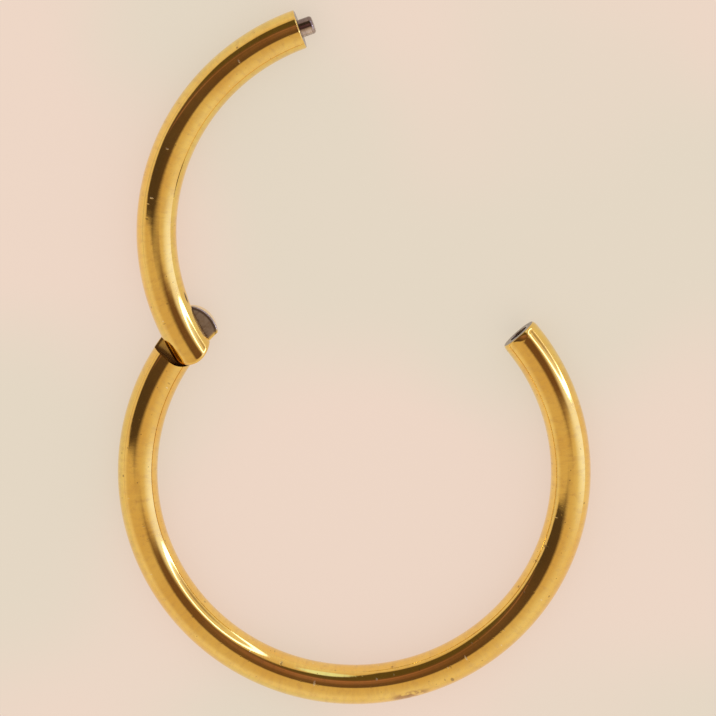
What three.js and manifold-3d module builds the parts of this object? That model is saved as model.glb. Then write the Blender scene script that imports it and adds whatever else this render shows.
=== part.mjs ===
import * as THREE from 'three';
import { mergeVertices } from 'three/addons/utils/BufferGeometryUtils.js';
import Module from 'manifold-3d';

// A hinged nose ring of round wire, lying on its side with its gate swung open.
// Lengths are millimetres, angles are degrees, and +Z is up, along the hinge's axis.
// Until the last step the origin is the ring's centre, at half the wire's height. Angles round the ring run
// anticlockwise from +X, seen from above.

// The wire and the circle it is bent to
const WIRE_DIAMETER = 1.02;
const RING_INNER_DIAMETER = 10;

// Where the circle is split: the hoop's free end, and the hinge. The gate spans the arc between them.
const FREE_END_ANGLE = 41;
const HINGE_ANGLE = 141;
const GATE_OPEN_ANGLE = 68.5;

// The half-lap hinge. A reach is a distance from the hinge's axis, along the wire.
const SHOULDER_REACH = 0.64;
const TONGUE_REACH = 0.85;
const LAP_END_CLEARANCE = 0.03;
const LAP_FACE_GAP = 0.03;
const HINGE_PIN_DIAMETER = 0.4;
const HINGE_PIN_CLEARANCE = 0.02;
const HINGE_PIN_COVER = 0.18;
const HINGE_PIN_RECESS = 0.05;

// The catch: a pin in the gate's tip, and the socket in the hoop's free end that it closes into
const CATCH_PIN_DIAMETER = 0.46;
const CATCH_PIN_PROTRUSION = 0.36;
const CATCH_PIN_CHAMFER = 0.07;
const CATCH_PIN_SEAT_DEPTH = 0.8;
const CATCH_PIN_SEAT_GAP = 0.015;
const SOCKET_CLEARANCE = 0.035;
const SOCKET_END_CLEARANCE = 0.06;
const CLOSED_END_GAP = 0.03;

// How finely the round forms are faceted
const WIRE_SIDES = 16;
const WIRE_STEP_ANGLE = 4;
const PIN_SIDES = 20;
const LAP_END_SIDES = 48;

const { degToRad, radToDeg } = THREE.MathUtils;
const WIRE_RADIUS = WIRE_DIAMETER / 2;
const BEND_RADIUS = (RING_INNER_DIAMETER + WIRE_DIAMETER) / 2;
const GATE_TIP_ANGLE = FREE_END_ANGLE + radToDeg(CLOSED_END_GAP / BEND_RADIUS);
const LAP_REACH = SHOULDER_REACH - LAP_END_CLEARANCE;
const GATE_SHOULDER_REACH = TONGUE_REACH + LAP_END_CLEARANCE;
// Cutting blocks run past the wire by this much.
const CUT_SIZE = GATE_SHOULDER_REACH + 2 * WIRE_DIAMETER;

const wasm = await Module();
wasm.setup();

const gold = new THREE.MeshStandardMaterial({ color: 0xd6a546, metalness: 1, roughness: 0.16 });
const steel = new THREE.MeshStandardMaterial({ color: 0x9a8f8a, metalness: 1, roughness: 0.3 });

// A solid from a closed geometry, whose vertices are shared once only position is left.
function solidOf(geometry) {
  const bare = geometry.clone();
  bare.deleteAttribute('normal');
  bare.deleteAttribute('uv');
  const merged = mergeVertices(bare);
  return new wasm.Manifold(new wasm.Mesh({
    numProp: 3,
    vertProperties: new Float32Array(merged.attributes.position.array),
    triVerts: new Uint32Array(merged.index.array),
  }));
}

// A flat-shaded geometry from a solid.
function geometryOf(solid) {
  const mesh = solid.getMesh();
  const geometry = new THREE.BufferGeometry();
  geometry.setAttribute('position', new THREE.BufferAttribute(mesh.vertProperties, 3));
  geometry.setIndex(new THREE.BufferAttribute(mesh.triVerts, 1));
  geometry.computeVertexNormals();
  return geometry;
}

// The point on the wire's centre line at an angle round the ring.
function pointOnRing(angle) {
  const a = degToRad(angle);
  return new THREE.Vector3(BEND_RADIUS * Math.cos(a), BEND_RADIUS * Math.sin(a), 0);
}

// The wire's centre line between two angles.
class RingArc extends THREE.Curve {
  constructor(from, to) {
    super();
    this.from = from;
    this.to = to;
  }

  getPoint(t, target = new THREE.Vector3()) {
    return target.copy(pointOnRing(THREE.MathUtils.lerp(this.from, this.to, t)));
  }
}

// The wire's section, a polygon whose sides touch the wire's circle. One side is level at the top and one at the
// bottom, so the ring lies on a flat.
function wireSection() {
  const cornerRadius = WIRE_RADIUS / Math.cos(Math.PI / WIRE_SIDES);
  const corners = [];
  for (let i = 0; i < WIRE_SIDES; i++) {
    const a = (i + 0.5) * 2 * Math.PI / WIRE_SIDES;
    corners.push(new THREE.Vector2(cornerRadius * Math.cos(a), cornerRadius * Math.sin(a)));
  }
  return new THREE.Shape(corners);
}

function bentWire(from, to) {
  const steps = Math.ceil((to - from) / WIRE_STEP_ANGLE);
  return new THREE.ExtrudeGeometry(wireSection(), { steps, bevelEnabled: false, extrudePath: new RingArc(from, to) });
}

// Moves a geometry made at the hinge into the ring. There X runs along the wire towards the gap, Y points out of
// the ring and Z up.
function atHinge(geometry) {
  const hinge = pointOnRing(HINGE_ANGLE);
  return geometry.rotateZ(degToRad(HINGE_ANGLE - 90)).translate(hinge.x, hinge.y, 0);
}

// A block in the hinge's frame between two places along the wire and two heights.
function hingeBlock(fromX, toX, fromZ, toZ) {
  const block = new THREE.BoxGeometry(toX - fromX, 2 * CUT_SIZE, toZ - fromZ);
  return solidOf(atHinge(block.translate((fromX + toX) / 2, 0, (fromZ + toZ) / 2)));
}

// An upright cylinder on the hinge's axis between two heights.
function hingeCylinder(radius, fromZ, toZ, sides) {
  const cylinder = new THREE.CylinderGeometry(radius, radius, toZ - fromZ, sides);
  return atHinge(cylinder.rotateX(Math.PI / 2).translate(0, 0, (fromZ + toZ) / 2));
}

// What has to go beyond a lap's round end, between two places along the wire.
function beyondRoundEnd(reach, fromX, toX) {
  const core = solidOf(hingeCylinder(reach, -CUT_SIZE, CUT_SIZE, LAP_END_SIDES));
  return hingeBlock(fromX, toX, -CUT_SIZE, CUT_SIZE).subtract(core);
}

// The wire is first made this many degrees longer than the lap that is cut from it.
function lapSweep(reach) {
  return radToDeg(Math.asin(reach / BEND_RADIUS)) + WIRE_STEP_ANGLE;
}

// Turns a geometry made along +Y to run along the wire towards the gate's closing side, from a place on the ring.
function alongWire(geometry, angle) {
  const place = pointOnRing(angle);
  return geometry.rotateZ(degToRad(angle - 180)).translate(place.x, place.y, 0);
}

// A round bore along the wire from a place on the ring, between two distances along it.
function boreAlongWire(radius, fromY, toY, angle) {
  const bore = new THREE.CylinderGeometry(radius, radius, toY - fromY, PIN_SIDES);
  return solidOf(alongWire(bore.translate(0, (fromY + toY) / 2, 0), angle));
}

const hingePinTop = WIRE_RADIUS - HINGE_PIN_COVER;
const hingePinBottom = HINGE_PIN_RECESS - WIRE_RADIUS;
const hingeBoreRadius = HINGE_PIN_DIAMETER / 2 + HINGE_PIN_CLEARANCE;

// The fixed part of the ring: its lower half runs on past the shoulder as the hinge's tongue, and the socket is
// drilled into its free end.
function makeHoop() {
  const wire = solidOf(bentWire(HINGE_ANGLE - lapSweep(TONGUE_REACH), 360 + FREE_END_ANGLE));
  const aboveTongue = hingeBlock(-SHOULDER_REACH, CUT_SIZE, -LAP_FACE_GAP / 2, CUT_SIZE);
  const pinBore = solidOf(hingeCylinder(hingeBoreRadius, -CUT_SIZE, CUT_SIZE, PIN_SIDES));
  const socketRadius = CATCH_PIN_DIAMETER / 2 + SOCKET_CLEARANCE;
  const socketDepth = CATCH_PIN_PROTRUSION - CLOSED_END_GAP + SOCKET_END_CLEARANCE;
  const socket = boreAlongWire(socketRadius, -WIRE_RADIUS, socketDepth, FREE_END_ANGLE);
  const solid = wire.subtract(aboveTongue).subtract(beyondRoundEnd(TONGUE_REACH, 0, CUT_SIZE))
    .subtract(pinBore).subtract(socket);
  const hoop = new THREE.Mesh(geometryOf(solid), gold);
  hoop.name = 'hoop';
  return hoop;
}

// The hinged segment, closed: its upper half runs on past its shoulder as the lap over the tongue, with a blind
// bore for the hinge pin, and its tip is bored for the catch pin.
function makeGate() {
  const wire = solidOf(bentWire(GATE_TIP_ANGLE, HINGE_ANGLE + lapSweep(LAP_REACH)));
  const belowLap = hingeBlock(-CUT_SIZE, GATE_SHOULDER_REACH, -CUT_SIZE, LAP_FACE_GAP / 2);
  const pinBore = solidOf(hingeCylinder(hingeBoreRadius, -CUT_SIZE, hingePinTop + HINGE_PIN_CLEARANCE, PIN_SIDES));
  const seatRadius = CATCH_PIN_DIAMETER / 2 + CATCH_PIN_SEAT_GAP;
  const seatDepth = CATCH_PIN_SEAT_DEPTH + CATCH_PIN_SEAT_GAP;
  const pinSeat = boreAlongWire(seatRadius, -seatDepth, WIRE_RADIUS, GATE_TIP_ANGLE);
  const solid = wire.subtract(belowLap).subtract(beyondRoundEnd(LAP_REACH, -CUT_SIZE, 0))
    .subtract(pinBore).subtract(pinSeat);
  const gate = new THREE.Mesh(geometryOf(solid), gold);
  gate.name = 'gate';
  return gate;
}

// The plain pin through the tongue and into the lap, covered at the front by the lap.
function makeHingePin() {
  const hingePin = new THREE.Mesh(
    hingeCylinder(HINGE_PIN_DIAMETER / 2, hingePinBottom, hingePinTop, PIN_SIDES),
    steel,
  );
  hingePin.name = 'hinge_pin';
  return hingePin;
}

// The catch pin, turned about its own axis, with a chamfered nose.
function makeCatchPin() {
  const radius = CATCH_PIN_DIAMETER / 2;
  const profile = [
    new THREE.Vector2(0, -CATCH_PIN_SEAT_DEPTH),
    new THREE.Vector2(radius, -CATCH_PIN_SEAT_DEPTH),
    new THREE.Vector2(radius, CATCH_PIN_PROTRUSION - CATCH_PIN_CHAMFER),
    new THREE.Vector2(radius - CATCH_PIN_CHAMFER, CATCH_PIN_PROTRUSION),
    new THREE.Vector2(0, CATCH_PIN_PROTRUSION),
  ];
  const catchPin = new THREE.Mesh(new THREE.LatheGeometry(profile, PIN_SIDES), steel);
  catchPin.name = 'catch_pin';
  catchPin.position.copy(pointOnRing(GATE_TIP_ANGLE));
  catchPin.rotation.z = degToRad(GATE_TIP_ANGLE - 180);
  return catchPin;
}

// The gate and its catch pin turn together about the hinge's axis.
const closedGate = new THREE.Group();
closedGate.position.copy(pointOnRing(HINGE_ANGLE)).negate();
closedGate.add(makeGate(), makeCatchPin());
const swungGate = new THREE.Group();
swungGate.position.copy(pointOnRing(HINGE_ANGLE));
swungGate.rotation.z = degToRad(GATE_OPEN_ANGLE);
swungGate.add(closedGate);

const ring = new THREE.Group();
ring.add(makeHoop(), makeHingePin(), swungGate);

// The ring lies on the ground, with the middle of its outline over the origin.
const outline = new THREE.Box3().setFromObject(ring, true);
const middle = outline.getCenter(new THREE.Vector3());
ring.position.set(-middle.x, -middle.y, -outline.min.z);

const noseRing = new THREE.Group();
noseRing.add(ring);

export default noseRing;
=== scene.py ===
import logging
import math
from collections.abc import Callable, Mapping, Sequence
from dataclasses import dataclass, field
from enum import Enum

import bmesh
import bpy
import numpy as np
from mathutils import Matrix, Vector


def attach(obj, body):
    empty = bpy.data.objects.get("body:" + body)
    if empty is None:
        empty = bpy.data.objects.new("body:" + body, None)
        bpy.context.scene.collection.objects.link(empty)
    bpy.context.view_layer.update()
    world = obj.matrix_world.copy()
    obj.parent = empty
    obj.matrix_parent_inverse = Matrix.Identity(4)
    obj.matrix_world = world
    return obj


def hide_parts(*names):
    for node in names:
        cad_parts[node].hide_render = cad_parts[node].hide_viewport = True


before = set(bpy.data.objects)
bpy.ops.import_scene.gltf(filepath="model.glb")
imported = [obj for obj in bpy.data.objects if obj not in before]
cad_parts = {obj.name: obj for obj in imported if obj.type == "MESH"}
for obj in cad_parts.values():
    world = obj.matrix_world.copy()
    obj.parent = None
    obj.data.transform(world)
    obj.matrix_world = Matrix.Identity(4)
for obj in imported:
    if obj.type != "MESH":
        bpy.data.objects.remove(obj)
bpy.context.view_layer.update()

# A hinged nose ring of plain round gold wire, lying on its side with its gate swung open.
# Shapes are worked out in millimetres in the hinge's own frame. X runs along the wire from the hoop towards
# the gate, Y points out of the ring and Z is up, along the hinge's axis. Meshes are in metres, in the row
# frame.

log = logging.getLogger("nose_ring")

Color = tuple[float, float, float, float]
Triple = tuple[float, float, float]
Grid = np.ndarray
Socket = bpy.types.NodeSocket
Material = bpy.types.Material

METRES_PER_MM = 0.001
NOISE_MIDDLE = 0.5
PLACE_LAYER = "wire_place"
BARE_LAYER = "bare_metal"
# The layer that says where shade is painted into the colour
PAINTED_SHADE_LAYER = "painted_shade"

# Sizes that the hoop and the gate share
WIRE_RADIUS = 0.508
WIRE_HEIGHT = 0.51
BEND_RADIUS = 5.51
HOOP_SPAN = 260.0
GATE_SPAN = 99.688
PIVOT = (-4.2812047, 0.5552085)

# Angles by which the hinge's frame is turned in the row frame, with the gate open as in the photo
HOOP_TURN = 51.0
GATE_TURN = 119.5


class Slot(Enum):
    """The record's material slots."""

    GOLD = "gold"
    BARE_STEEL = "bare_steel"


class Body(Enum):
    """The bodies of the hinge's two sides."""

    HOOP = "hoop"
    GATE = "gate"


class Half(Enum):
    """The half of the wire that a lap is cut from, as the sign of its height."""

    LOWER = -1
    UPPER = 1


def smooth_ramp(value: Grid, start: float, end: float) -> Grid:
    """A ramp from 0 at start to 1 at end, with the smooth cubic 3 t^2 - 2 t^3 between them."""
    t = np.clip((value - start) / (end - start), 0.0, 1.0)
    return t * t * (3 - 2 * t)


def quarter_round(distance: Grid, size: float) -> Grid:
    """The drop of a rolled edge, 1 - sqrt(1 - t^2), where t rises from 0 at its start to 1 at the outline."""
    t = np.clip(1 - distance / size, 0.0, 1.0)
    return 1 - np.sqrt(1 - t * t)


class BentWire:
    """The circle that the wire is bent to, as a map from the straight wire to the hinge's frame."""

    PLANE_REACH = 1.5
    BLEND_REACH = 3.0

    @classmethod
    def bend(cls, along: Grid | float, out: Grid | float, up: Grid | float) -> Grid:
        """Bends points of the straight wire round the ring.

        A point goes to (R + out) (sin d, cos d) - (0, R), where R is the bend's radius and d is along / R.
        Near the hinge d = asin(R sin(along / R) / (R + out)), so that a straight cut stays in one plane.

        Args:
            along: Distance along the centre line from the hinge.
            out: Distance from the centre line, away from the ring's middle.
            up: Height above the centre line.

        Returns:
            The points, with their coordinates along the last axis.
        """
        along, out, up = np.broadcast_arrays(along, out, up)
        fanned = along / BEND_RADIUS
        level = np.clip(BEND_RADIUS * np.sin(fanned) / (BEND_RADIUS + out), -1, 1)
        share = 1 - smooth_ramp(np.abs(along), cls.PLANE_REACH, cls.BLEND_REACH)
        angle = fanned + share * (np.arcsin(level) - fanned)
        reach = BEND_RADIUS + out
        return np.stack([reach * np.sin(angle), reach * np.cos(angle) - BEND_RADIUS, up], -1)

    @staticmethod
    def tangent(along: float) -> np.ndarray:
        """The direction (cos d, -sin d, 0) in which the wire runs at a place along it."""
        angle = along / BEND_RADIUS
        return np.array([math.cos(angle), -math.sin(angle), 0.0])

    @staticmethod
    def out_of(x: Grid, y: Grid) -> Grid:
        """How far points of the plan lie out of the wire's centre line: hypot(x, y + R) - R."""
        return np.hypot(x, y + BEND_RADIUS) - BEND_RADIUS


@dataclass
class Skin:
    """Grids of points that are welded into one closed mesh."""

    WELD = 1e-5
    SHARP_ANGLE = 40.0

    points: list[Grid] = field(default_factory=list)
    places: list[Grid] = field(default_factory=list)
    bareness: list[Grid] = field(default_factory=list)
    # How much shade is painted at each point
    painted_shade: list[Grid] = field(default_factory=list)
    quads: list[Grid] = field(default_factory=list)

    def add(self, points: Grid, places: Grid, bareness: Grid | float, painted_shade: Grid | float = 0.0) -> None:
        """Adds a grid whose columns go once round and join up.

        Args:
            points: Rows by columns by three coordinates.
            places: The same points on the straight wire, for the finish.
            bareness: How bare the metal is at each point, from 0 to 1.
            painted_shade: How dark with painted shade each point is, from 0 to 1.
        """
        start = sum(len(p) for p in self.points)
        rows, columns = points.shape[:2]
        index = start + np.arange(rows * columns).reshape(rows, columns)
        right = np.roll(index, -1, axis=1)
        corners = [index[:-1], right[:-1], right[1:], index[1:]]
        self.quads.append(np.stack(corners, -1).reshape(-1, 4))
        self.points.append(points.reshape(-1, 3))
        self.places.append(places.reshape(-1, 3))
        self.bareness.append(np.broadcast_to(bareness, (rows, columns)).reshape(-1))
        self.painted_shade.append(np.broadcast_to(painted_shade, (rows, columns)).reshape(-1))

    def build(self, name: str, turn: float) -> bpy.types.Object:
        """Welds the grids and makes the object, with its place in its mesh.

        Points closer than the weld become one. A quad that lost one corner becomes a triangle, and one that
        lost more is dropped.

        Args:
            name: The object's name.
            turn: Angle in degrees by which the hinge's frame is turned in the row frame.

        Returns:
            The object, linked to the scene, with faces that point outwards.
        """
        points = np.concatenate(self.points)
        keys = np.round(points / self.WELD).astype(np.int64)
        _, first, merged = np.unique(keys, axis=0, return_index=True, return_inverse=True)
        quads = merged.reshape(-1)[np.concatenate(self.quads)]
        same_as_next = quads == np.roll(quads, -1, axis=1)
        crossed = (quads[:, 0] == quads[:, 2]) | (quads[:, 1] == quads[:, 3])
        lost = same_as_next.sum(1)
        whole = quads[(lost == 0) & ~crossed]
        short = (lost == 1) & ~crossed
        triangles = quads[short][~same_as_next[short]].reshape(-1, 3)
        mesh = bpy.data.meshes.new(name)
        faces = whole.tolist() + triangles.tolist()
        mesh.from_pydata(self._in_row_frame(points[first], turn).tolist(), [], faces)
        for layer, kind, part, values in (
            (PLACE_LAYER, "FLOAT_VECTOR", "vector", self.places),
            (BARE_LAYER, "FLOAT", "value", self.bareness),
            (PAINTED_SHADE_LAYER, "FLOAT", "value", self.painted_shade),
        ):
            stored = np.concatenate(values)[first].astype(np.float32)
            mesh.attributes.new(layer, kind, "POINT").data.foreach_set(part, stored.reshape(-1))
        self._face_outwards(mesh)
        made = bpy.data.objects.new(name, mesh)
        bpy.context.scene.collection.objects.link(made)
        return made

    @staticmethod
    def _in_row_frame(points: Grid, turn: float) -> Grid:
        """Turns points about the hinge's axis, moves them to the pivot and puts them into metres.

        Args:
            points: Points in the hinge's frame, in millimetres.
            turn: Angle in degrees.

        Returns:
            The points in the row frame, in metres.
        """
        c, s = math.cos(math.radians(turn)), math.sin(math.radians(turn))
        turned = points @ np.array([[c, s, 0], [-s, c, 0], [0, 0, 1]])
        return (turned + [*PIVOT, WIRE_HEIGHT]) * METRES_PER_MM

    def _face_outwards(self, mesh: bpy.types.Mesh) -> None:
        """Turns all faces outwards, and shades the mesh smooth up to its sharp edges."""
        shell = bmesh.new()
        shell.from_mesh(mesh)
        bmesh.ops.recalc_face_normals(shell, faces=shell.faces)
        shell.to_mesh(mesh)
        shell.free()
        mesh.shade_smooth()
        mesh.set_sharp_from_angle(angle=math.radians(self.SHARP_ANGLE))


def node_operator(operation: str) -> Callable[["Signal", "Signal | float"], "Signal"]:
    """Makes a method of Signal that adds a Math node.

    Args:
        operation: The node's operation.

    Returns:
        The method, which gives the node's value for self and one other operand.
    """

    def operate(self: "Signal", other: "Signal | float") -> "Signal":
        """The operation's value for self and other."""
        return self.desk.value("ShaderNodeMath", {"operation": operation}, {0: self, 1: other})

    return operate


class Signal:
    """A node's socket that takes part in Python expressions on numbers."""

    __add__ = __radd__ = node_operator("ADD")
    __sub__ = node_operator("SUBTRACT")
    __mul__ = __rmul__ = node_operator("MULTIPLY")
    __truediv__ = node_operator("DIVIDE")
    __pow__ = node_operator("POWER")
    lowest = node_operator("MINIMUM")
    highest = node_operator("MAXIMUM")

    def __init__(self, desk: "ShaderDesk", socket: Socket) -> None:
        """Wraps a socket of the desk's node tree."""
        self.desk = desk
        self.socket = socket

    def ramp(self, start: float, end: float) -> "Signal":
        """A smooth ramp of self, from 0 at start to 1 at end, which may lie below start."""
        sockets = {"Value": self, "From Min": start, "From Max": end}
        return self.desk.value("ShaderNodeMapRange", {"interpolation_type": "SMOOTHSTEP"}, sockets)


Plug = Signal | Socket | float | int | Sequence[float]
Settings = Mapping[str, object]
Plugs = Mapping[str | int, Plug]


@dataclass
class ShaderDesk:
    """A node tree, with methods that add nodes to it."""

    tree: bpy.types.NodeTree

    def node(self, kind: str, settings: Settings, sockets: Plugs) -> bpy.types.Node:
        """Adds a node.

        Args:
            kind: The node's type.
            settings: Its own settings, set before its sockets.
            sockets: The value or the link of each socket, by name or place.

        Returns:
            The node.
        """
        made = self.tree.nodes.new(kind)
        for name, setting in settings.items():
            setattr(made, name, setting)
        for name, plug in sockets.items():
            socket = made.inputs[name]
            if isinstance(plug, Signal):
                self.tree.links.new(plug.socket, socket)
            elif isinstance(plug, Socket):
                self.tree.links.new(plug, socket)
            else:
                socket.default_value = plug
        return made

    def value(self, kind: str, settings: Settings, sockets: Plugs, out: str | int = 0) -> Signal:
        """Adds a node and gives one of its outputs, by name or place, as a number."""
        return Signal(self, self.node(kind, settings, sockets).outputs[out])

    def blend(self, factor: Signal | float, low: Plug, high: Plug) -> Socket:
        """Mixes two colours, with the factor as the share of the second."""
        mix = self.node("ShaderNodeMix", {"data_type": "RGBA"}, {0: factor, 6: low, 7: high})
        return mix.outputs[2]

    def dot(self, vector: Socket, axis: Sequence[float]) -> Signal:
        """The dot product of a vector and a fixed axis."""
        settings = {"operation": "DOT_PRODUCT"}
        return self.value("ShaderNodeVectorMath", settings, {0: vector, 1: axis}, "Value")

    def stretched(self, vector: Socket, scale: Sequence[float]) -> Socket:
        """The vector times a fixed scale, axis by axis."""
        settings = {"operation": "MULTIPLY"}
        return self.node("ShaderNodeVectorMath", settings, {0: vector, 1: scale}).outputs[0]

    def layer(self, name: str, out: str) -> Socket:
        """A layer of the mesh, as a vector or a factor."""
        return self.node("ShaderNodeAttribute", {"attribute_name": name}, {}).outputs[out]

    def bump(self, shader: bpy.types.Node, height: Signal, strength: float, distance: float) -> None:
        """Feeds the shader's normal from a height, whose unit is the distance in metres."""
        sockets = {"Strength": strength, "Distance": distance, "Height": height}
        self.tree.links.new(self.node("ShaderNodeBump", {}, sockets).outputs[0], shader.inputs["Normal"])


@dataclass(frozen=True)
class Band:
    """A smooth ramp that leaves 0 at start and reaches its share at end, which may lie below start."""

    start: float
    end: float
    share: float = 1.0

    def of(self, signal: Signal) -> Signal:
        """The band's share of a node's value."""
        return self.share * signal.ramp(self.start, self.end)

    def over(self, values: Grid) -> Grid:
        """The band's share at each of the values."""
        return self.share * smooth_ramp(values, self.start, self.end)


def new_material(name: str) -> tuple[Material, ShaderDesk, bpy.types.Node]:
    """Makes an empty material with one Principled shader.

    Args:
        name: The material's name.

    Returns:
        The material, its desk and its shader.
    """
    material = bpy.data.materials.new(name)
    material.use_nodes = True
    material.node_tree.nodes.clear()
    desk = ShaderDesk(material.node_tree)
    shader = desk.node("ShaderNodeBsdfPrincipled", {}, {})
    desk.node("ShaderNodeOutputMaterial", {}, {"Surface": shader.outputs[0]})
    return material, desk, shader


@dataclass(frozen=True)
class Grain:
    """Noise of about 0.5, with its own number of bumps for each unit along each axis."""

    bumps: Triple
    detail: float

    def read(self, desk: ShaderDesk, place: Socket) -> Signal:
        """The noise at a place."""
        sockets = {"Vector": desk.stretched(place, self.bumps), "Scale": 1.0, "Detail": self.detail}
        return desk.value("ShaderNodeTexNoise", {}, sockets)


@dataclass(frozen=True)
class Spots:
    """Round spots near the middles of some cells, with a number of cells for each unit along each axis.

    The radius is a share of a cell, and the rarity the share of cells without a spot.
    """

    cells: Triple
    radius: float
    rarity: float
    strength: float = 1.0
    core: float = 0.3
    faintest: float = 0.3
    rarity_step: float = 0.05

    def mask(self, desk: ShaderDesk, place: Socket) -> Signal:
        """The spots' mask: a ramp of the distance from each cell's middle, times the cell's own strength.

        Args:
            desk: The material's desk.
            place: Where the cells are read.

        Returns:
            Up to the strength in the spots and 0 between them.
        """
        sockets = {"Vector": desk.stretched(place, self.cells), "Scale": 1.0, "Randomness": 1.0}
        cell = desk.node("ShaderNodeTexVoronoi", {}, sockets)
        luck = desk.dot(cell.outputs["Color"], (1.0, 0.0, 0.0))
        chance = luck.ramp(self.rarity, self.rarity + self.rarity_step)
        size = self.faintest + (1 - self.faintest) * desk.dot(cell.outputs["Color"], (0.0, 1.0, 0.0))
        spot = Signal(desk, cell.outputs["Distance"]).ramp(self.radius, self.core * self.radius)
        return self.strength * (spot * chance * size)


@dataclass(frozen=True)
class Mark:
    """An oval mark on the wire, with its middle and half-sizes in millimetres out, up and along."""

    middle: Triple
    sizes: Triple
    fade: Band = Band(1.1, 0.5)

    def mask(self, desk: ShaderDesk, place: Socket) -> Signal:
        """The mark's mask: a band of the distance from its middle, in half-sizes.

        Args:
            desk: The material's desk.
            place: Where the surface lies on the straight wire.

        Returns:
            The band's share in the mark's middle and 0 past its size.
        """
        settings = {"operation": "SUBTRACT"}
        offset = desk.node("ShaderNodeVectorMath", settings, {0: place, 1: self.middle}).outputs[0]
        shares = desk.stretched(offset, [1 / size for size in self.sizes])
        settings = {"operation": "LENGTH"}
        return self.fade.of(desk.value("ShaderNodeVectorMath", settings, {0: shares}, "Value"))


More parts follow.
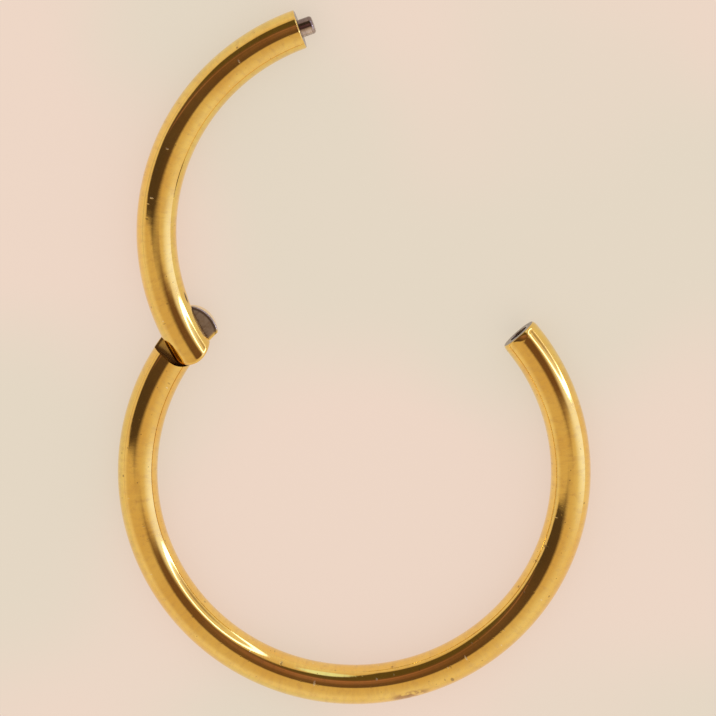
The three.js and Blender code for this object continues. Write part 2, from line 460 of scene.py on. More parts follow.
@dataclass(frozen=True)
class GoldPlating:
    """Polished gold plating over steel, with fine marks, pits and a smudge, and bare where it was cut. Specks
    and scratches carry painted glints, and the slit, shoulders, lap edges and bores carry painted shade.
    """

    name: str = "polished_gold_plating"
    gold: Color = (0.95, 0.70, 0.19, 1.0)
    warm_gold: Color = (0.91, 0.62, 0.15, 1.0)
    dull_gold: Color = (0.74, 0.50, 0.16, 1.0)
    pit: Color = (0.16, 0.085, 0.04, 1.0)
    brown: Color = (0.40, 0.21, 0.09, 1.0)
    # The pale cream of painted glints
    glint_tint: Color = (1.0, 0.95, 0.75, 1.0)
    steel: Color = (0.40, 0.335, 0.29, 1.0)
    # The near-black brown of painted shade
    shade_paint: Color = (0.055, 0.028, 0.018, 1.0)
    brown_share: float = 0.8
    pit_share: float = 0.75
    glint_share: float = 0.7
    nick_share: float = 0.8
    coat: float = 0.5
    roughness: float = 0.055
    steel_roughness: float = 0.30
    spot_roughness: float = 0.25
    smudge_roughness: float = 0.15
    shade_roughness: float = 0.3
    bump_strength: float = 0.6
    bump_distance: float = 2.5e-6
    across_height: float = 0.35
    mottle_height: float = 0.3
    dark_depth: float = 0.7
    drawn_height: float = 1.5
    drawn_on_gold: float = 0.15
    across: Grain = Grain((2.5, 2.5, 9.0), 4.0)
    drawn: Grain = Grain((16.0, 16.0, 0.8), 3.0)
    tone: Grain = Grain((0.8, 0.8, 0.8), 3.0)
    mottle: Grain = Grain((6.0, 6.0, 6.0), 4.0)
    warm_band: Band = Band(0.35, 0.65)
    dull_lines: Band = Band(0.45, 0.70, 0.30)
    dull_blotches: Band = Band(0.48, 0.72, 0.40)
    smudge_blotches: Band = Band(0.36, 0.50)
    rough_blotches: Band = Band(0.5, 0.8, 0.07)
    steel_lines: Band = Band(0.45, 0.70, 0.25)
    steel_blotches: Band = Band(0.45, 0.65, 0.3)
    pits: Spots = Spots((7.0, 7.0, 7.0), radius=0.16, rarity=0.70, strength=0.8)
    dents: Spots = Spots((2.4, 2.4, 2.4), radius=0.12, rarity=0.72)
    ticks: Spots = Spots((4.0, 4.0, 10.0), radius=0.30, rarity=0.95, strength=0.7)
    glint_specks: Spots = Spots((4.0, 4.0, 9.0), radius=0.20, rarity=0.90)
    smudge: Mark = Mark((0.385, 0.335, -13.77), (0.17, 0.24, 0.52))
    # Painted shadow of the notch beside the gate's lap
    slit_shadow: Mark = Mark((-0.47, 0.175, 0.93), (0.07, 0.045, 0.17))
    nicks: tuple[Mark, ...] = (
        Mark((-0.309, 0.406, -10.40), (0.08, 0.07, 0.04)),
        Mark((-0.302, 0.411, -19.11), (0.11, 0.09, 0.045)),
        Mark((-0.386, 0.333, -18.62), (0.05, 0.06, 0.035)),
        Mark((0.35, 0.37, -14.85), (0.10, 0.10, 0.05)),
    )
    # Scratches whose glints are painted pale
    scratch_glints: tuple[Mark, ...] = (
        Mark((-0.054, 0.507, -11.38), (0.09, 0.06, 0.035)),
        Mark((-0.023, 0.509, -15.42), (0.09, 0.06, 0.025)),
        Mark((-0.216, 0.462, -13.01), (0.05, 0.05, 0.030)),
        Mark((0.069, 0.505, 7.89), (0.06, 0.05, 0.030)),
        Mark((0.146, 0.488, 5.05), (0.06, 0.05, 0.025)),
        Mark((0.177, 0.478, 3.77), (0.06, 0.05, 0.025)),
    )

    def make(self) -> Material:
        """Makes the material.

        Pits, dents, ticks and nicks are dark, and specks and scratches are painted as pale glints. The mesh's
        layers say where the steel is bare and where painted shade lies, and a mark at the slit adds painted
        shadow. Colour, roughness and bump come from the same masks and noises.

        Returns:
            The material.
        """
        material, desk, shader = new_material(self.name)
        place = desk.layer(PLACE_LAYER, "Vector")
        bare = Signal(desk, desk.layer(BARE_LAYER, "Fac"))
        # Painted shade from the mesh's layer, with the painted shadow in the slit
        painted_shade = Signal(desk, desk.layer(PAINTED_SHADE_LAYER, "Fac")).highest(self.slit_shadow.mask(desk, place))
        grains = (self.tone, self.across, self.drawn, self.mottle)
        tone, across, drawn, mottle = (grain.read(desk, place) for grain in grains)
        scattered = (self.pits, self.dents, self.ticks, self.glint_specks)
        pits, dents, ticks, painted_glint = (spots.mask(desk, place) for spots in scattered)
        dark = (pits + dents + ticks).lowest(1.0)
        for nick in self.nicks:
            dark = dark.highest(self.nick_share * nick.mask(desk, place))
        for scratch in self.scratch_glints:
            painted_glint = painted_glint.highest(scratch.mask(desk, place))
        smudge = self.smudge.mask(desk, place) * self.smudge_blotches.of(mottle)
        colour = desk.blend(self.warm_band.of(tone), self.gold, self.warm_gold)
        dull = self.dull_lines.of(across) + self.dull_blotches.of(mottle)
        colour = desk.blend(dull, colour, self.dull_gold)
        colour = desk.blend(smudge * self.brown_share, colour, self.brown)
        colour = desk.blend(dark * self.pit_share, colour, self.pit)
        # Painted highlight: specks and scratches are tinted pale cream, as glints
        colour = desk.blend(painted_glint * self.glint_share, colour, self.glint_tint)
        darkened = self.steel_lines.of(drawn) + self.steel_blotches.of(mottle)
        colour = desk.blend(bare, colour, desk.blend(darkened, self.steel, self.pit))
        # Painted shade: the colour is darkened to a near-black brown where the shade layer and the slit say
        desk.tree.links.new(desk.blend(painted_shade, colour, self.shade_paint), shader.inputs["Base Color"])
        shader.inputs["Metallic"].default_value = 1.0
        shader.inputs["Coat Weight"].default_value = self.coat
        rough = self.roughness + self.rough_blotches.of(mottle) + self.spot_roughness * (dark + painted_glint)
        rough = rough + self.smudge_roughness * smudge + self.shade_roughness * painted_shade
        rough = rough + bare * (self.steel_roughness - self.roughness)
        desk.tree.links.new(rough.socket, shader.inputs["Roughness"])
        height = self.across_height * across + self.mottle_height * mottle - self.dark_depth * dark + painted_glint
        height = height + self.drawn_height * (bare + self.drawn_on_gold) * drawn
        desk.bump(shader, height, self.bump_strength, self.bump_distance)
        return material


@dataclass(frozen=True)
class TurnedSteel:
    """Bare turned steel, dull and warm grey, with fine marks round the pin and a painted dark reflection on
    one side.
    """

    name: str = "bare_turned_steel"
    light: Color = (0.66, 0.57, 0.51, 1.0)
    dark: Color = (0.33, 0.27, 0.26, 1.0)
    # The colour of the painted dark reflection on one side
    dark_reflection: Color = (0.20, 0.15, 0.15, 1.0)
    dark_reflection_share: float = 0.8
    dark_reflection_swing: float = 0.05
    rings_share: float = 0.6
    roughness: float = 0.17
    roughness_swing: float = 0.15
    bump_strength: float = 0.6
    bump_distance: float = 2e-6
    cloud_height: float = 0.5
    rings: Grain = Grain((1.0, 1.0, 30.0), 3.0)
    cloud: Grain = Grain((5.0, 5.0, 5.0), 3.0)
    dark_band: Band = Band(0.35, 0.65)
    dark_reflection_band: Band = Band(0.10, 0.0)

    def make(self) -> Material:
        """Makes the material.

        The colour runs between two greys with noise that is drawn out round the pin, and to a painted dark
        reflection on one side. The same noise moves the roughness and the bump.

        Returns:
            The material.
        """
        material, desk, shader = new_material(self.name)
        place = desk.layer(PLACE_LAYER, "Vector")
        rings = self.rings.read(desk, place)
        cloud = self.cloud.read(desk, place)
        both = self.rings_share * rings + (1 - self.rings_share) * cloud
        colour = desk.blend(self.dark_band.of(both), self.light, self.dark)
        # Painted reflection: one side of the pin is darkened like a reflection of dark surroundings
        darkened = self.dark_reflection_band.of(desk.dot(place, (0.0, 1.0, 0.0)) + self.dark_reflection_swing * cloud)
        colour = desk.blend(darkened * self.dark_reflection_share, colour, self.dark_reflection)
        desk.tree.links.new(colour, shader.inputs["Base Color"])
        shader.inputs["Metallic"].default_value = 1.0
        rough = self.roughness + self.roughness_swing * (rings - NOISE_MIDDLE)
        desk.tree.links.new(rough.socket, shader.inputs["Roughness"])
        desk.bump(shader, rings + self.cloud_height * cloud, self.bump_strength, self.bump_distance)
        return material


@dataclass(frozen=True)
class LapEnd:
    """Half of the wire that runs on past a shoulder and ends round about the hinge's axis.

    It is described with its flat below and the wire's round above, and mirrored in height for a lower half.
    """

    half: Half
    shoulder: float
    reach: float
    toe: int
    hollow: bool = False
    face_gap: float = 0.015
    flat_edge: float = 0.04
    side_edge: float = 0.07
    round_edge: float = 0.08
    edge_room: float = 0.6
    round_columns: int = 40
    wall_columns: int = 8
    flat_columns: int = 40
    straight_rows: int = 26
    nose_rows: int = 20
    bare_from_hinge: Band = Band(-0.25, 0.25)
    bare_from_side: Band = Band(0.03, 0.10)
    line_outer: Band = Band(0.03, 0.05)
    line_inner: Band = Band(0.10, 0.07, 0.75)
    line_from_hinge: Band = Band(0.0, 0.2)
    # Painted shadow and shade at the shoulder's foot and along the sides
    foot_shadow: Band = Band(0.50, 0.20, 0.35)
    foot_shade: Band = Band(0.16, 0.02, 0.4)
    side_shade: Band = Band(0.16, 0.04, 0.85)

    @property
    def edge_height(self) -> float:
        """The height at which the flat's rolled edge ends on the wall."""
        return self.face_gap + self.flat_edge

    @property
    def side(self) -> float:
        """The half-width of the lap, where the wire's round comes down to the flat's edge."""
        return math.sqrt(WIRE_RADIUS**2 - self.edge_height**2)

    def section_angles(self) -> Grid:
        """The angles of the points round the whole wire.

        They run over the round from the right edge to the left one, down the left wall, back along the flat's
        half and up the right wall.

        Returns:
            The angles in radians, from the outward side and with the lap's half counted as up.
        """
        edge = math.asin(self.edge_height / WIRE_RADIUS)
        parts = [
            np.linspace(edge, math.pi - edge, self.round_columns, endpoint=False),
            np.linspace(math.pi - edge, math.pi + edge, self.wall_columns, endpoint=False),
            np.linspace(math.pi + edge, 2 * math.pi - edge, self.flat_columns, endpoint=False),
            np.linspace(-edge, edge, self.wall_columns, endpoint=False),
        ]
        return np.concatenate(parts)

    def section(self) -> tuple[Grid, Grid]:
        """How far out and how high the points of the whole wire's section lie: r cos a and r sin a."""
        angles = self.section_angles()
        return WIRE_RADIUS * np.cos(angles), self.half.value * WIRE_RADIUS * np.sin(angles)

    def hollow_shift(self) -> Grid:
        """How far the hollow moves the shoulder towards the hinge, for each point round the wire.

        On the inner side a hollow shoulder follows a circle about the hinge: s - sqrt(s^2 - out^2). That
        holds for the half that is cut away, and fades out over the walls.

        Returns:
            The shifts, none for a straight shoulder or the outer side.
        """
        angles = self.section_angles()
        out = np.minimum(WIRE_RADIUS * np.cos(angles), 0)
        shift = self.shoulder - np.sqrt(self.shoulder**2 - out**2)
        r, w, f = self.round_columns, self.wall_columns, self.flat_columns
        up = np.linspace(0, 1, w, endpoint=False)
        cut = np.concatenate([np.zeros(r), up, np.ones(f), 1 - up])
        return self.hollow * shift * cut

    def stations(self) -> Grid:
        """Places along the hinge's X from the shoulder to the nose, closer together where the nose curves.

        They are even up to where the round end meets the wire's sides, and then reach cos t, for even t.

        Returns:
            The places, signed towards the nose.
        """
        corner = math.sqrt(self.reach**2 - self.side**2)
        straight = np.linspace(-self.shoulder, corner, self.straight_rows)
        nose = self.reach * np.cos(np.linspace(math.acos(corner / self.reach), 0, self.nose_rows))
        return self.toe * np.concatenate([straight, nose[1:]])

    def surface(self) -> Grid:
        """The lap's surface, as a function of the place along X and of the share of the way round.

        The outline's half-width is the wire's side or that of the round end, sqrt(reach^2 - x^2), whichever
        is less, and its share the cosine of the section's angle. The bend's crown is added, less where the
        outline is narrower, so that the points lie in the wire's own surface. The round is the wire's height
        sqrt(r^2 - out^2) less its rolled edge, the flat is level with a rolled edge of its own, and the walls
        join the two at the outline.

        Returns:
            Points in the hinge's frame, rows by columns.
        """
        x = self.stations()[:, None]
        x = x + self.toe * self.hollow_shift() * smooth_ramp(self.toe * x, 0.0, -self.shoulder)
        radius = BEND_RADIUS
        end = np.sqrt(np.maximum(self.reach**2 - x**2, 0))
        outer = np.sqrt((radius + self.side) ** 2 - x**2) - radius
        inner = np.sqrt((radius - self.side) ** 2 - x**2) - radius
        share = np.clip(np.cos(self.section_angles()) * WIRE_RADIUS / self.side, -1, 1)[None, :]
        bent = np.sqrt((radius + self.side * share) ** 2 - x**2) - radius
        crown = bent - (outer + inner) / 2 - share * (outer - inner) / 2
        full_width = outer - inner
        nose_side = self.toe * x > 0
        outer = np.where(nose_side, np.minimum(outer, end), outer)
        inner = np.where(nose_side, np.maximum(inner, -end), inner)
        middle, half_width = (outer + inner) / 2, (outer - inner) / 2
        y = middle + half_width * share + crown * 2 * half_width / full_width
        out = BentWire.out_of(x, y)
        from_end = np.where(nose_side, self.reach - np.hypot(x, y), self.reach)
        height = np.sqrt(np.maximum(WIRE_RADIUS**2 - out**2, self.edge_height**2))
        room = np.minimum(self.round_edge, self.edge_room * (height - self.edge_height))
        top = height - room * quarter_round(from_end, self.round_edge)
        from_side = (self.side - np.abs(out)) * self.flat_edge / self.side_edge
        from_outline = np.minimum(from_end, from_side)
        flat = self.face_gap + self.flat_edge * quarter_round(from_outline, self.flat_edge)
        down = np.linspace(0, 1, self.wall_columns, endpoint=False)[None, :]
        r, w, f = self.round_columns, self.wall_columns, self.flat_columns
        y[:, r : r + w] = (middle - half_width)[:, r : r + w]
        y[:, r + w + f :] = (middle + half_width)[:, r + w + f :]
        z = top.copy()
        z[:, r : r + w] = top[:, [r]] * (1 - down) + self.edge_height * down
        z[:, r + w : r + w + f] = flat[:, r + w : r + w + f]
        z[:, r + w + f :] = self.edge_height * (1 - down) + top[:, [0]] * down
        return np.stack([np.broadcast_to(x, y.shape), y, self.half.value * z], -1)

    def wear_and_shade(self) -> tuple[Grid, Grid]:
        """How bare the lap's flat is and how dark with painted shade; the rest of it is clean gold.

        It is bare towards its nose, though not along its sides, and has painted shade in a thin line a little
        inside the nose's outline. A lower half also has painted shadow at its shoulder's foot, and an upper
        one painted shade along its sides.

        Returns:
            The bareness and the painted shade.
        """
        surface = self.surface()
        x, y = self.toe * surface[..., 0], surface[..., 1]
        from_side = self.side - np.abs(BentWire.out_of(x, y))
        from_end = self.reach - np.hypot(x, y)
        on_flat = np.zeros(x.shape)
        start = self.round_columns + self.wall_columns
        on_flat[:, start : start + self.flat_columns + 1] = 1
        bare = on_flat * self.bare_from_hinge.over(x) * self.bare_from_side.over(from_side)
        # Painted shade: a thin dark line inside the nose's outline, and at the shoulder's foot or along the
        # sides
        line = self.line_outer.over(from_end) * self.line_inner.over(from_end)
        line = line * self.line_from_hinge.over(x)
        from_foot = np.where(y < 0, self.shoulder - np.hypot(x, y), x + self.shoulder)
        foot = (x < 0) * (self.foot_shadow.over(from_foot) + self.foot_shade.over(from_foot))
        shade_paint = foot if self.half is Half.LOWER else self.side_shade.over(from_side)
        return bare, on_flat * np.maximum(line, shade_paint)


@dataclass(frozen=True)
class BoredEnd:
    """A square end of the wire with a rolled rim and a blind bore, with painted shade on its face that
    deepens into the bore.
    """

    bore_radius: float
    bore_depth: float
    rim: float
    rim_length: float
    bore_rim: float = 0.012
    # Shares of painted shade on the face, at the mouth and down the bore
    face_shade: float = 0.4
    mouth_shade: float = 0.3
    bore_shade: float = 0.6
    bare_rim: Band = Band(1.25, 1.5)
    rim_rows: int = 10
    face_rows: int = 5

    def profile(self) -> Grid:
        """The end's profile from the wire's surface over the face and down the bore.

        The wire's rim is a quarter of an oval, as deep as the rim and as long as its length, and the bore's
        mouth is a quarter circle.

        Returns:
            Rows of how far back from the end, distance from the axis, bareness and painted shade.
        """
        t = np.linspace(0, math.pi / 2, self.rim_rows)
        rim_out = WIRE_RADIUS - self.rim
        bare = self.bare_rim.over(t)
        rim = [self.rim_length * (1 - np.sin(t)), rim_out + self.rim * np.cos(t), bare]
        rim.append(self.face_shade * bare)
        mouth = self.bore_radius + self.bore_rim
        across = np.linspace(rim_out, mouth, self.face_rows)[1:]
        # Painted shade: over the face, deeper towards the mouth and down the bore
        face_shade = self.face_shade + self.mouth_shade * smooth_ramp(across, rim_out, mouth)
        face = [0 * across, across, 0 * across + 1, face_shade]
        lip = [self.bore_rim * (1 - np.cos(t)), mouth - self.bore_rim * np.sin(t), 0 * t + 1, 0 * t]
        back = np.array([self.bore_depth / 2, self.bore_depth, self.bore_depth])
        across = np.array([self.bore_radius, self.bore_radius, 0.0])
        wall = [back, across, 0 * back + 1, 0 * back + self.bore_shade]
        return np.concatenate([np.array(part).T for part in (rim, face, lip, wall)])


@dataclass(frozen=True)
class WirePart:
    """What the hoop and the gate share: a bent wire with a lap at the hinge and a bored end.

    The span is the angle from the hinge to the bored end, and the turn that of the hinge's frame.
    """

    WARP_REACH = 0.8
    SHOULDER_BARENESS = 0.3
    # Share of painted shade on the shoulder face
    SHOULDER_SHADE = 0.6

    name: str
    body: Body
    lap: LapEnd
    end: BoredEnd
    span: float
    turn: float
    row_step: float = 0.06

    def build(self, gold: Material) -> bpy.types.Object:
        """Builds the part in its gold finish, dressed for its body."""
        piece = self.skin().build(self.name, self.turn)
        return dress(piece, gold, self.body, self.body.value)

    def skin(self) -> Skin:
        """Works out the whole surface.

        The wire is the section carried along the centre line from the lap's shoulder to the bored end. The
        bored end's profile is turned about the wire's tangent there.

        Returns:
            The welded surface's grids.
        """
        lap, toe = self.lap, self.lap.toe
        out, up = lap.section()
        tip = -toe * math.radians(self.span) * BEND_RADIUS
        last = tip + toe * self.end.rim_length
        start = -toe * np.arcsin((lap.shoulder - lap.hollow_shift()) / BEND_RADIUS) * BEND_RADIUS
        straight = -toe * math.asin(lap.shoulder / BEND_RADIUS) * BEND_RADIUS
        rows = math.ceil(abs(last - straight) / self.row_step)
        along = np.linspace(last, straight, rows)[:, None]
        along = along + (start - straight) * smooth_ramp(np.abs(along - straight), self.WARP_REACH, 0.0)
        wire = BentWire.bend(along, out, up)
        places = np.stack(np.broadcast_arrays(out, up, along), -1)
        skin = Skin()
        profile = self.end.profile()
        share = profile[:, 1:2] / WIRE_RADIUS
        centre = BentWire.bend(tip, 0.0, 0.0)
        rim = BentWire.bend(tip, out, up) - centre
        end = centre + share[:, :, None] * rim + toe * profile[:, 0, None, None] * BentWire.tangent(tip)
        end_place = np.stack(np.broadcast_arrays(share * out, share * up, tip + toe * profile[:, 0:1]), -1)
        skin.add(end[::-1], end_place[::-1], profile[::-1, 2:3], profile[::-1, 3:4])
        wire_places = np.concatenate([end_place[:1], places])
        skin.add(np.concatenate([end[:1], wire]), wire_places, 0.0)
        surface = lap.surface()
        surface[0, : lap.round_columns + 1] = wire[-1, : lap.round_columns + 1]
        x, y, z = np.moveaxis(surface, -1, 0)
        lap_place = np.stack([BentWire.out_of(x, y), z, x], -1)
        shoulder_face = np.stack([wire[-1], surface[0]])
        shoulder_place = np.stack([places[-1], lap_place[0]])
        bareness, painted_shade = lap.wear_and_shade()
        # The shoulder face gets painted shade
        skin.add(shoulder_face, shoulder_place, self.SHOULDER_BARENESS, self.SHOULDER_SHADE)
        skin.add(surface, lap_place, bareness, painted_shade)
        return skin


# The fixed part of the ring, with the hinge's tongue and the socketed free end
HOOP = WirePart(
    name="hoop_wire",
    body=Body.HOOP,
    lap=LapEnd(Half.LOWER, shoulder=0.65, reach=0.85, toe=1, hollow=True),
    end=BoredEnd(bore_radius=0.265, bore_depth=0.39, rim=0.05, rim_length=0.16),
    span=HOOP_SPAN,
    turn=HOOP_TURN,
)

# The hinged segment, with the lap over the tongue and the bored tip
GATE = WirePart(
    name="gate_wire",
    body=Body.GATE,
    lap=LapEnd(Half.UPPER, shoulder=0.88, reach=0.63, toe=-1),
    end=BoredEnd(bore_radius=0.245, bore_depth=0.815, rim=0.03, rim_length=0.035),
    span=GATE_SPAN,
    turn=GATE_TURN,
)


@dataclass(frozen=True)
class Pin:
    """A pin turned about its own axis, with rounded edges.

    It stands at a place along the wire, upright or in the wire's own direction, and its tail and nose are
    measured from there.
    """

    name: str
    node: str
    body: Body
    turn: float
    along: float
    upright: bool
    radius: float
    chamfer: float
    tail: float
    nose: float
    tail_chamfer: float = 0.02
    edge_rows: int = 8
    columns: int = 64

    def build(self, steel: Material) -> bpy.types.Object:
        """Builds the pin in its steel finish, dressed for its body."""
        piece = self.skin().build(self.name, self.turn)
        return dress(piece, steel, self.body, self.node)

    def profile(self) -> Grid:
        """The pin's profile, from the middle of its tail to the middle of its nose.

        Both edges are quarter circles.

        Returns:
            Rows of the place along the axis and the distance from it.
        """
        t = np.linspace(0, math.pi / 2, self.edge_rows)
        tail_rim, nose_rim = self.tail_chamfer * (1 - np.cos(t)), self.chamfer * np.sin(t)
        tail = [self.tail + tail_rim, self.radius - self.tail_chamfer * (1 - np.sin(t))]
        nose = [self.nose - self.chamfer + nose_rim, self.radius - self.chamfer * (1 - np.cos(t))]
        first = [(self.tail, 0.0), (self.tail, (self.radius - self.tail_chamfer) / 2)]
        last = [(self.nose, (self.radius - self.chamfer) / 2), (self.nose, 0.0)]
        return np.concatenate([first, np.array(tail).T, np.array(nose).T, last])

    def skin(self) -> Skin:
        """Turns the profile about the pin's axis: foot + a axis + q (cos t side + sin t across).

        Returns:
            The pin's surface.
        """
        foot = BentWire.bend(self.along, 0.0, 0.0)
        up, tangent = np.array([0.0, 0.0, 1.0]), BentWire.tangent(self.along)
        axis, side = (up, tangent) if self.upright else (tangent, up)
        across = np.cross(axis, side)
        turn = np.linspace(0, 2 * math.pi, self.columns, endpoint=False)
        profile = self.profile()
        ring = np.cos(turn)[:, None] * side + np.sin(turn)[:, None] * across
        points = foot + profile[:, 0, None, None] * axis + profile[:, 1, None, None] * ring
        flat = profile[:, 1:2] * np.cos(turn), profile[:, 1:2] * np.sin(turn), profile[:, 0:1]
        skin = Skin()
        skin.add(points, np.stack(np.broadcast_arrays(*flat), -1), 1.0)
        return skin


# The pin inside the tongue and the lap
HINGE_PIN = Pin(
    name="hinge_pin_steel",
    node="hinge_pin",
    body=Body.HOOP,
    turn=HOOP_TURN,
    along=0.0,
    upright=True,
    radius=0.2,
    chamfer=0.02,
    tail=-0.46,
    nose=0.33,
)

# The pin in the gate's tip, which closes into the hoop's socket
CATCH_PIN = Pin(
    name="catch_pin_steel",
    node="catch_pin",
    body=Body.GATE,
    turn=GATE_TURN,
    along=math.radians(GATE_SPAN) * BEND_RADIUS,
    upright=False,
    radius=0.23,
    chamfer=0.07,
    tail=-0.8,
    nose=0.36,
)


def dress(piece: bpy.types.Object, finish: Material, body: Body, node: str) -> bpy.types.Object:
    """Gives a piece its finish and its body, and hides the CAD node that it stands for.

    Args:
        piece: The piece.
        finish: Its material.
        body: The body that it rides on.
        node: The CAD node.

    Returns:
        The piece.
    """
    piece.data.materials.append(finish)
    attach(piece, body.value)
    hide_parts(node)
    log.info("%s: %d faces", piece.name, len(piece.data.polygons))
    return piece


@dataclass(frozen=True)
class MapPlace:
    """A direction's place on the mirror map, to the right and up, and its distance from the map's middle.

    The place is that of the tilt that a small mirror would need to show the direction to the camera.
    """

    x: Signal
    y: Signal
    out: Signal


@dataclass(frozen=True)
class SoftPatch:
    """A patch of the mirror map with straight soft sides.

    Each side has the angle of the line across it, its offset along that line, and how far beyond it the mask
    reaches 1 and 0.
    """

    sides: tuple[tuple[float, float, float, float], ...]

    def mask(self, place: MapPlace) -> Signal:
        """The patch's mask: the least of one smooth ramp for each side.

        Args:
            place: The direction's place.

        Returns:
            1 inside the patch and 0 outside.
        """
        found: Signal | None = None
        for angle, offset, inner, outer in self.sides:
            a = math.radians(angle)
            side = (place.x * math.cos(a) + place.y * math.sin(a) - offset).ramp(outer, inner)
            found = side if found is None else found.lowest(side)
        return found


@dataclass(frozen=True)
class Oval:
    """A soft oval of the mirror map."""

    x: float
    y: float
    width: float
    height: float
    turn: float = 0.0
    fade: Band = Band(1.0, 0.1)

    def distance(self, place: MapPlace) -> Signal:
        """The distance from the oval's middle to a place, 1 on its outline.

        Args:
            place: The direction's place.

        Returns:
            hypot(u / width, v / height), with u and v measured along the oval's own axes.
        """
        c, s = math.cos(math.radians(self.turn)), math.sin(math.radians(self.turn))
        u = ((place.x - self.x) * c + (place.y - self.y) * s) / self.width
        v = ((place.y - self.y) * c - (place.x - self.x) * s) / self.height
        return (u * u + v * v) ** 0.5

    def mask(self, place: MapPlace) -> Signal:
        """The oval's mask, its fade of the distance."""
        return self.fade.of(self.distance(place))


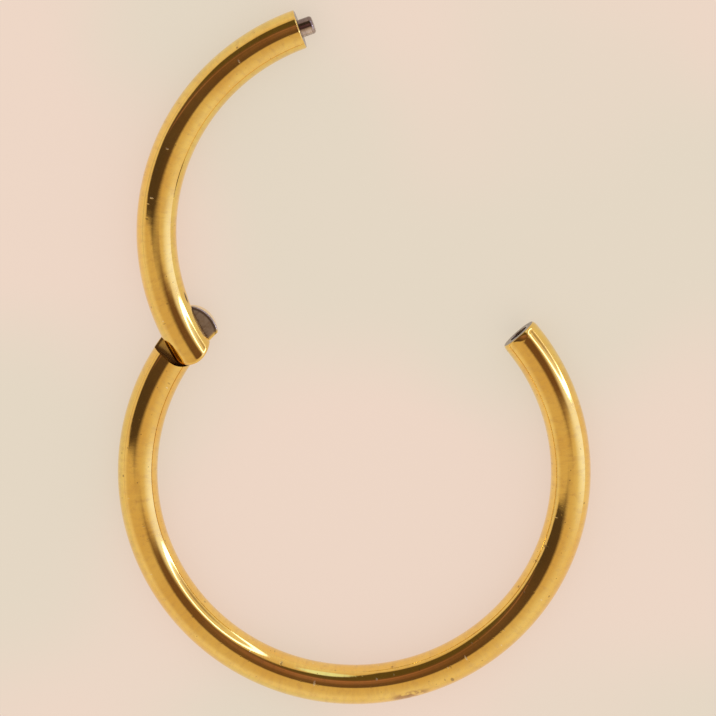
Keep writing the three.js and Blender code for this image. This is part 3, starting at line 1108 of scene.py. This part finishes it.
@dataclass(frozen=True)
class Studio:
    """The pale floor, the soft surroundings with their lamp, and the camera."""

    image_width: int = 716
    focal_pixels: float = 6000.0
    sensor: float = 36.0
    near: float = 0.001
    far: float = 10.0
    camera_place: Triple = (2.167, 26.565, 150.294)
    right: Triple = (0.9999, 0.0, -0.0138)
    up: Triple = (-0.0024, 0.9847, -0.1742)
    back: Triple = (0.0136, 0.1742, 0.9846)
    behind: float = 0.0001

    room: Color = (0.86, 0.75, 0.66, 1.0)
    warm_room: Color = (0.68, 0.49, 0.30, 1.0)
    room_outwards: float = 0.9
    room_rightwards: float = 0.5
    room_band: Band = Band(0.15, 0.85)
    skirting: Color = (0.86, 0.72, 0.60, 1.0)
    skirting_band: Band = Band(0.5, 0.7)
    glow: Color = (1.05, 1.10, 1.7, 1.0)
    glow_patch: Oval = Oval(0.66, -0.03, 0.42, 0.34)
    edge_inner: Band = Band(0.655, 0.675)
    edge_outer: Band = Band(0.705, 0.69)
    edge_side: Band = Band(0.25, 0.6, 0.3)

    dark: Color = (0.085, 0.055, 0.042, 1.0)
    brown: Color = (0.17, 0.088, 0.055, 1.0)
    brown_slope: float = 1.5
    brown_band: Band = Band(-0.45, 0.0)
    olive: Color = (0.115, 0.08, 0.035, 1.0)
    olive_band: Band = Band(0.18, 0.27)
    copper: Color = (0.36, 0.17, 0.14, 1.0)
    copper_patches: tuple[Oval, ...] = (
        Oval(0.04, 0.09, 0.28, 0.13, fade=Band(1.0, 0.1, 0.65)),
        Oval(-0.04, 0.155, 0.30, 0.045, -3.0, Band(1.0, 0.2, 0.8)),
        Oval(-0.38, 0.145, 0.20, 0.032, 9.0, Band(1.0, 0.2, 0.8)),
    )
    shade: SoftPatch = SoftPatch(
        (
            (180, 0.58, -0.02, 0.02),
            (222, 0.45, -0.02, 0.02),
            (258.5, 0.200, -0.02, 0.02),
            (-87.5, 0.145, -0.02, 0.05),
            (-66.4, 0.195, -0.04, 0.03),
            (0, 0.38, -0.12, 0.05),
            (36, 0.305, -0.04, 0.03),
            (47.9, 0.325, -0.02, 0.02),
            (113.8, 0.515, -0.02, 0.02),
            (148.7, 0.57, -0.02, 0.02),
        )
    )

    lamp: Color = (7.0, 7.2, 9.0, 1.0)
    faint_lamp: Color = (2.6, 3.0, 4.8, 1.0)
    bright_part: Oval = Oval(0.64, 0.10, 0.24, 0.20, fade=Band(1.0, 0.2))
    ring: Oval = Oval(0.465, 0.285, 0.25, 0.185, -52.0)
    ring_outer: Band = Band(1.05, 0.95)
    ring_inner: Band = Band(0.74, 0.84)
    hollow: Oval = Oval(0.50, 0.28, 0.15, 0.07, -52.0, Band(1.1, 0.3, 0.6))
    far_lamp: Color = (2.0, 2.3, 3.6, 1.0)
    far_side: Oval = Oval(0.62, 0.26, 0.13, 0.20, fade=Band(1.0, 0.6))
    glint: Color = (0.85, 1.0, 1.1, 1.0)
    glint_patch: Oval = Oval(0.075, 0.445, 0.095, 0.10, fade=Band(1.1, 0.6))
    even_light: Color = (1.0, 1.0, 1.0, 1.0)

    floor_size: float = 2.0
    floor_cream: Color = (0.194, 0.170, 0.138, 1.0)
    floor_rose: Color = (0.213, 0.169, 0.141, 1.0)
    floor_cloud: Grain = Grain((90.0, 90.0, 90.0), 1.0)
    rose_band: Band = Band(0.4, 0.6)
    floor_light: float = 3.0
    floor_roughness: float = 0.9
    floor_gloss: float = 0.1

    def build(self) -> None:
        """Makes the floor, the surroundings and the camera."""
        self._camera()
        self._surroundings()
        self._floor()
        bpy.context.scene.view_settings.view_transform = "Standard"

    def _camera(self) -> None:
        """Places the camera with its axes as measured, looking along minus its back axis."""
        lens = bpy.data.cameras.new("camera")
        lens.sensor_width = self.sensor
        lens.lens = self.focal_pixels / self.image_width * self.sensor
        lens.clip_start = self.near
        lens.clip_end = self.far
        camera = bpy.data.objects.new("camera", lens)
        axes = Matrix((self.right, self.up, self.back)).transposed().to_4x4()
        place = Matrix.Translation(Vector(self.camera_place) * METRES_PER_MM)
        camera.matrix_world = place @ axes
        bpy.context.scene.collection.objects.link(camera)
        bpy.context.scene.camera = camera

    def _surroundings(self) -> None:
        """Draws the surroundings on the mirror map, for glossy rays, and an even light for the others.

        A direction d has the place (d . right, d . up) / sqrt(2 + 2 d . back + behind) on the map, where the
        tiny last term keeps it finite straight behind the ring.
        """
        world = bpy.data.worlds.new("soft_room")
        world.use_nodes = True
        world.node_tree.nodes.clear()
        bpy.context.scene.world = world
        desk = ShaderDesk(world.node_tree)
        direction = desk.node("ShaderNodeTexCoord", {}, {}).outputs["Generated"]
        scale = (desk.dot(direction, self.back) * 2 + (2 + self.behind)) ** -0.5
        x = desk.dot(direction, self.right) * scale
        y = desk.dot(direction, self.up) * scale
        place = MapPlace(x, y, (x * x + y * y) ** 0.5)
        colour = desk.blend(self.shade.mask(place), self._room(desk, place), self._dark_shape(desk, place))
        colour = self._lamps(desk, place, colour)
        glossy = desk.value("ShaderNodeLightPath", {}, {}, "Is Glossy Ray")
        colour = desk.blend(glossy, self.even_light, colour)
        shown = desk.node("ShaderNodeBackground", {}, {"Color": colour, "Strength": 1.0})
        desk.node("ShaderNodeOutputWorld", {}, {"Surface": shown.outputs[0]})

    def _room(self, desk: ShaderDesk, place: MapPlace) -> Socket:
        """The pale room, with a glow to the right and a thin brown edge at the upper left.

        Args:
            desk: The world's desk.
            place: The direction's place.

        Returns:
            The room's colour.
        """
        paleness = self.room_band.of(self.room_outwards * place.out + self.room_rightwards * place.x)
        room = desk.blend(paleness, self.warm_room, self.room)
        room = desk.blend(self.skirting_band.of(place.out), room, self.skirting)
        room = desk.blend(self.glow_patch.mask(place), room, self.glow)
        edge = self.edge_inner.of(place.out) * self.edge_outer.of(place.out)
        return desk.blend(edge * self.edge_side.of(place.y - place.x), room, self.brown)

    def _dark_shape(self, desk: ShaderDesk, place: MapPlace) -> Socket:
        """The dark middle's colour: brown, olive at the top and copper in a line.

        Args:
            desk: The world's desk.
            place: The direction's place.

        Returns:
            The colour.
        """
        brown = desk.blend(self.brown_band.of(place.x + self.brown_slope * place.y), self.dark, self.brown)
        inside = desk.blend(self.olive_band.of(place.y), brown, self.olive)
        hub, near_line, far_line = (patch.mask(place) for patch in self.copper_patches)
        return desk.blend((hub + near_line + far_line).lowest(1.0), inside, self.copper)

    def _lamps(self, desk: ShaderDesk, place: MapPlace, colour: Socket) -> Socket:
        """Adds the ring lamp with its brown hollow and its far side, and the small green lamp.

        Args:
            desk: The world's desk.
            place: The direction's place.
            colour: What is there before.

        Returns:
            The colour with the lamps.
        """
        colour = desk.blend(self.hollow.mask(place), colour, self.brown)
        far_side = self.far_side.mask(place) * self.edge_inner.of(place.out)
        colour = desk.blend(far_side, colour, self.far_lamp)
        colour = desk.blend(self.glint_patch.mask(place), colour, self.glint)
        ring = self.ring.distance(place)
        lamp = desk.blend(self.bright_part.mask(place), self.faint_lamp, self.lamp)
        return desk.blend(self.ring_outer.of(ring) * self.ring_inner.of(ring), colour, lamp)

    def _floor(self) -> None:
        """Lays a wide level floor with two pale tints that run into each other."""
        mesh = bpy.data.meshes.new("floor")
        half = self.floor_size / 2
        corners = [(-half, -half, 0.0), (half, -half, 0.0), (half, half, 0.0), (-half, half, 0.0)]
        mesh.from_pydata(corners, [], [(0, 1, 2, 3)])
        floor = bpy.data.objects.new("floor", mesh)
        bpy.context.scene.collection.objects.link(floor)
        material, desk, shader = new_material("pale_floor")
        place = desk.node("ShaderNodeTexCoord", {}, {}).outputs["Object"]
        rose = self.rose_band.of(self.floor_cloud.read(desk, place))
        colour = desk.blend(rose, self.floor_cream, self.floor_rose)
        desk.tree.links.new(colour, shader.inputs["Base Color"])
        desk.tree.links.new(colour, shader.inputs["Emission Color"])
        shader.inputs["Emission Strength"].default_value = self.floor_light
        shader.inputs["Roughness"].default_value = self.floor_roughness
        shader.inputs["Specular IOR Level"].default_value = self.floor_gloss
        mesh.materials.append(material)


def main() -> None:
    """Builds the studio and the ring's pieces in order, and reports each."""
    logging.basicConfig(level=logging.INFO, format="%(name)s: %(message)s")
    Studio().build()
    gold = GoldPlating().make()
    steel = TurnedSteel().make()
    HOOP.build(gold)
    HINGE_PIN.build(steel)
    GATE.build(gold)
    CATCH_PIN.build(steel)


if __name__ == "__main__":
    main()
